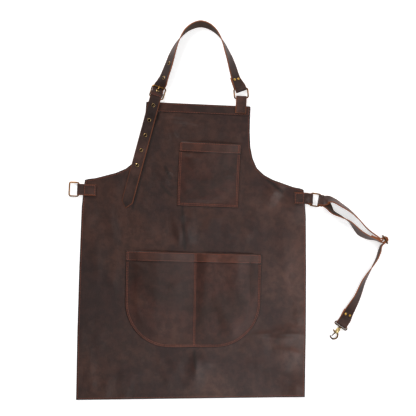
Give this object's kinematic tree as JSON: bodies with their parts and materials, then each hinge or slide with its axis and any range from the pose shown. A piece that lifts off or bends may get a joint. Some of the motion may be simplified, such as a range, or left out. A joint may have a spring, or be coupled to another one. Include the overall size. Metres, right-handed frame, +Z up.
{
  "type": "leather work apron",
  "caption": "Leather bib apron laid flat, with a chest pocket, a divided hip pocket, a buckled neck strap and a waist strap that ends in a snap hook.",
  "frame": {"origin": "on the surface that the apron lies on, under its middle by the hip pocket's mouth", "axes": "+Y from the hem towards the neck loop, +X to the right of the front as it is seen, +Z up"},
  "size_m": [0.8468, 1.0091, 0.0377],
  "materials": {
    "panel": "waxed, dark brown",
    "pocket": "waxed, dark brown",
    "band": "waxed, reddish brown",
    "strap": "waxed, rust cut edges",
    "brass": "antique",
    "bright": "polished"
  },
  "bodies": {
    "apron": {"apron_panel": "panel", "bib_band": "band", "chest_pocket": "pocket", "chest_pocket_band": "band", "hip_pocket": "pocket", "hip_pocket_band": "band", "left_tab": "strap", "right_tab": "strap", "right_ring": "brass", "neck_tab": "strap", "neck_ring": "brass", "buckle_tab": "strap", "buckle_frame": "brass", "buckle_prong": "brass", "strap_keeper": "strap", "neck_strap": "strap", "eyelet_1": "brass", "eyelet_2": "brass", "eyelet_3": "brass", "eyelet_4": "brass", "eyelet_5": "brass", "eyelet_6": "brass", "eyelet_7": "brass", "eyelet_8": "brass", "neck_rivet_1": "bright", "hook_rivet_1": "bright", "neck_rivet_2": "bright", "hook_rivet_2": "bright", "waist_strap": "strap", "waist_slider": "brass", "swivel_eye": "brass"},
    "left_ring": {"left_ring": "brass"},
    "hook_body": {"hook_body": "bright"},
    "hook_lever": {"hook_lever": "brass"}
  },
  "joints": [
    {"name": "left_ring_tilt", "type": "hinge", "parent": "apron", "child": "left_ring", "pos_m": [-0.30277, 0.17606, 0.0047], "axis": [0.0454, 0.999, 0], "range_deg": [0, 165]},
    {"name": "hook_swivel", "type": "hinge", "parent": "apron", "child": "hook_body", "pos_m": [0.39384, -0.18158, 0.00555], "axis": [-0.5592, -0.829, 0], "continuous": true},
    {"name": "hook_lever", "type": "hinge", "parent": "hook_body", "child": "hook_lever", "pos_m": [0.37694, -0.20192, 0.00555], "axis": [0, 0, 1], "range_deg": [0, 25], "stiffness_Nm_per_rad": 0.02, "springref_deg": -11.46}
  ]
}
